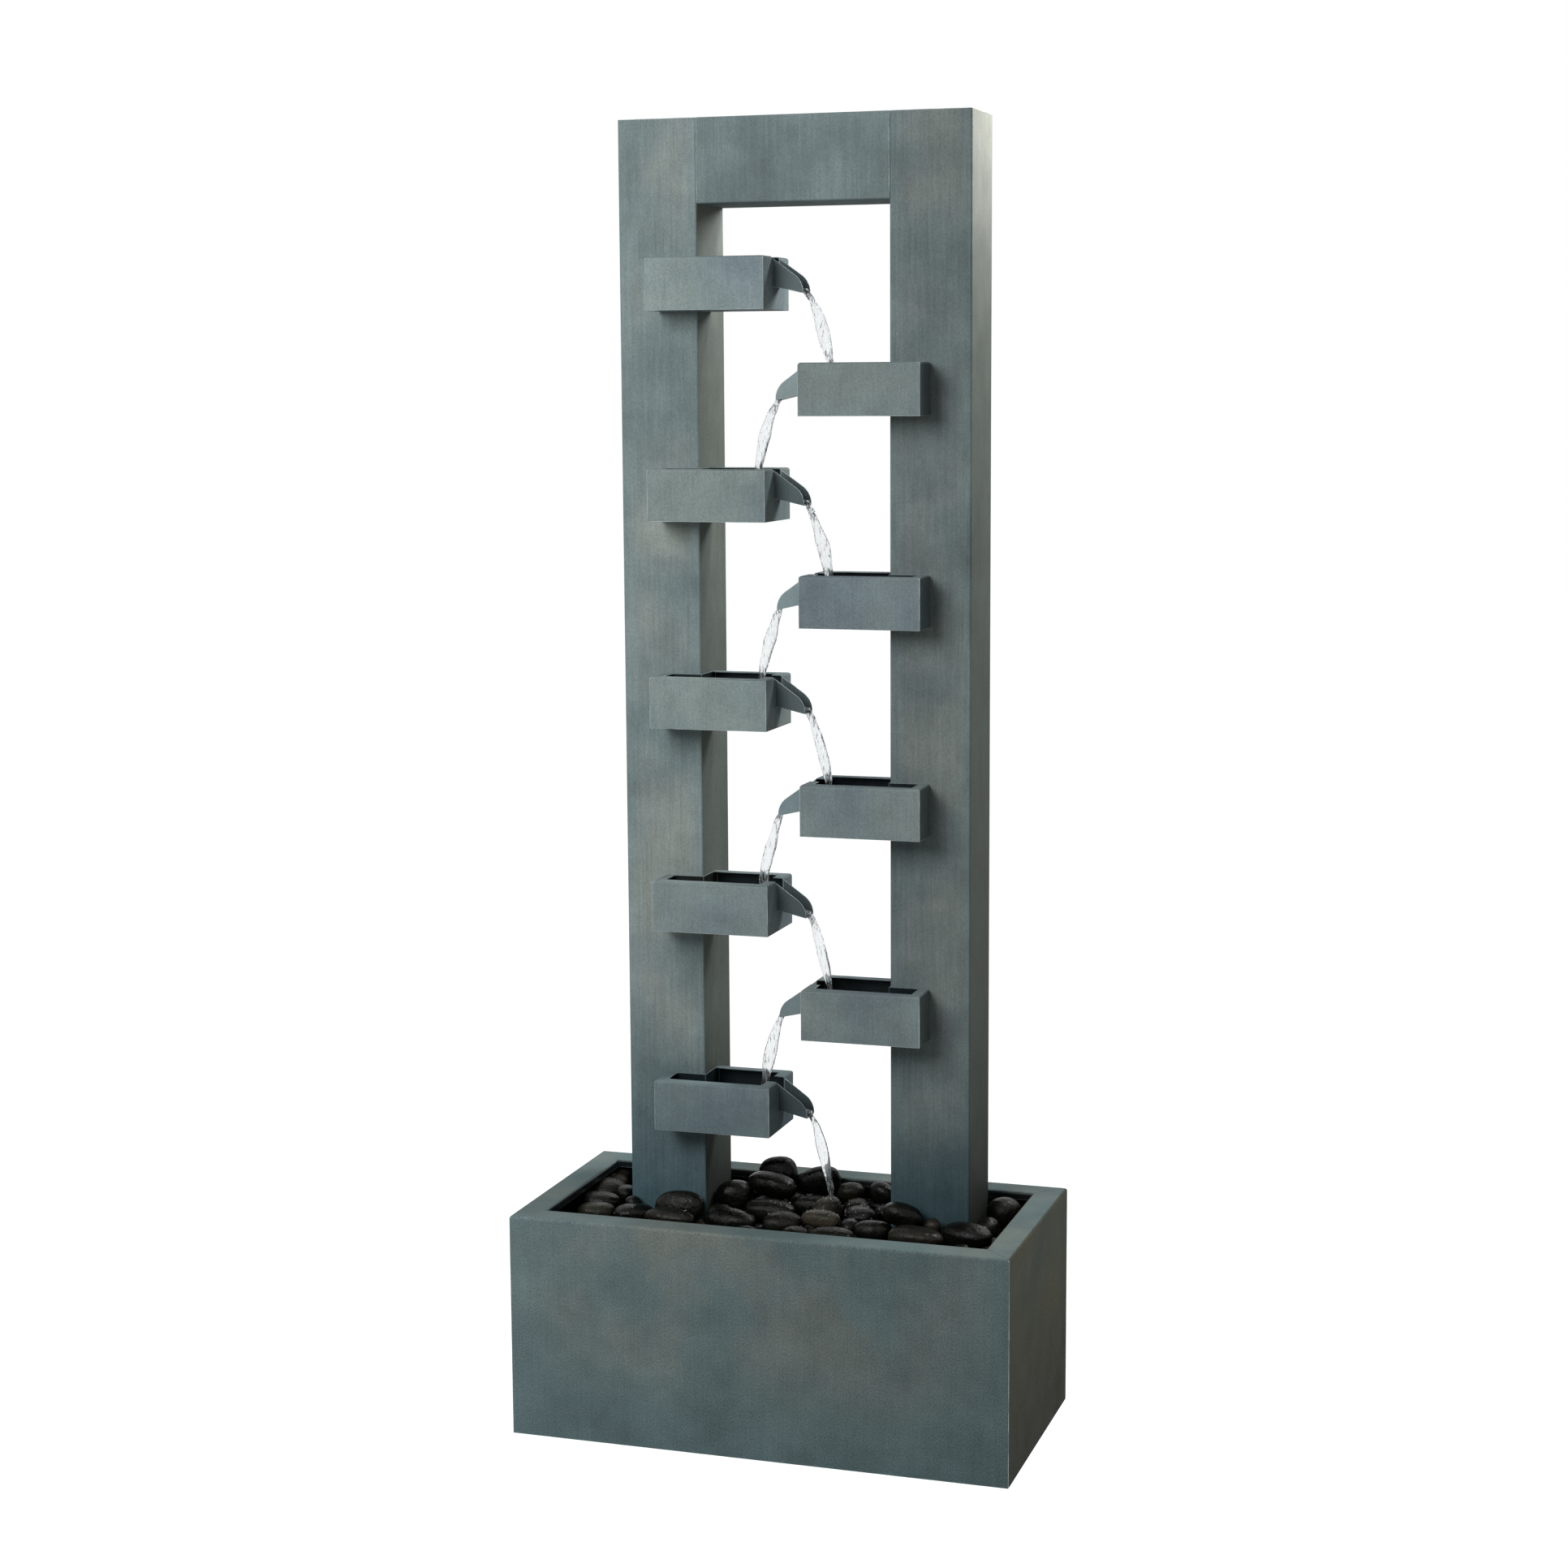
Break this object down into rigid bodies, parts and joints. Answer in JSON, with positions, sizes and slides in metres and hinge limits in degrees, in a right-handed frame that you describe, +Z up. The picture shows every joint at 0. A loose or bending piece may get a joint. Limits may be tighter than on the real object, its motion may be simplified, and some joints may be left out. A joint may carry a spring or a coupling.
{
  "type": "garden water fountain",
  "caption": "Free-standing metal garden fountain: tall open frame with staggered spouted cups that cascade water into a stone-filled basin with a hidden pump.",
  "frame": {"origin": "centre of the basin's underside, on the ground", "axes": "+X to the fountain's right as seen from the front, +Y to the back, +Z up"},
  "size_m": [0.498, 0.2526, 1.27],
  "materials": {
    "zinc": "patinated zinc-coated sheet, matt, mottled blue-grey with soft brushed streaks",
    "zinc_spout": "patinated zinc-coated sheet, darker where water runs",
    "zinc_inside": "zinc-coated sheet, dark and wet",
    "stone": "polished black river stone, wet",
    "rubber": "moulded black rubber",
    "steel": "stainless steel, machined",
    "brass": "turned brass, dull",
    "hose_vinyl": "clear vinyl tubing, slightly cloudy",
    "pump_plastic": "moulded black ABS",
    "rotor_ferrite": "moulded impeller over a ferrite magnet",
    "shaft_ceramic": "ground alumina",
    "dial_plastic": "moulded blue plastic",
    "water": "clear running water"
  },
  "bodies": {
    "fountain": {"basin_front": "zinc", "basin_rear": "zinc", "basin_left_side": "zinc", "basin_right_side": "zinc", "basin_floor": "zinc_inside", "cord_grommet": "rubber", "tray_ledge_front": "zinc_inside", "tray_ledge_rear": "zinc_inside", "stone_tray": "zinc_inside", "stones_lower": "stone", "stones_upper": "stone", "stones_crown": "stone", "left_post": "zinc", "right_post": "zinc", "top_beam": "zinc", "left_post_socket": "zinc_inside", "right_post_socket": "zinc_inside", "post_screws": "steel", "cup_1": "zinc", "cup_2": "zinc", "cup_3": "zinc", "cup_4": "zinc", "cup_5": "zinc", "cup_6": "zinc", "cup_7": "zinc", "cup_8": "zinc", "cup_9": "zinc", "spout_1": "zinc_spout", "spout_2": "zinc_spout", "spout_3": "zinc_spout", "spout_4": "zinc_spout", "spout_5": "zinc_spout", "spout_6": "zinc_spout", "spout_7": "zinc_spout", "spout_8": "zinc_spout", "spout_9": "zinc_spout", "inlet_nipple": "brass", "inlet_washer": "rubber", "inlet_nut": "brass", "supply_hose": "hose_vinyl", "pump_housing": "pump_plastic", "pump_volute_cover": "pump_plastic", "pump_strainer": "pump_plastic", "pump_shaft": "shaft_ceramic", "shaft_bushes": "rubber", "pump_outlet": "pump_plastic", "pump_suckers": "rubber", "pump_cord_gland": "rubber"},
    "rotor": {"pump_rotor": "rotor_ferrite"},
    "flow_dial": {"pump_flow_dial": "dial_plastic"}
  },
  "joints": [
    {"name": "rotor_spin", "type": "hinge", "parent": "fountain", "child": "rotor", "pos_m": [-0.011, 0.0763, 0.0382], "axis": [1, 0, 0], "continuous": true},
    {"name": "flow_dial_turn", "type": "hinge", "parent": "fountain", "child": "flow_dial", "pos_m": [0.037, 0.0763, 0.0382], "axis": [1, 0, 0], "range_deg": [0, 90]}
  ]
}
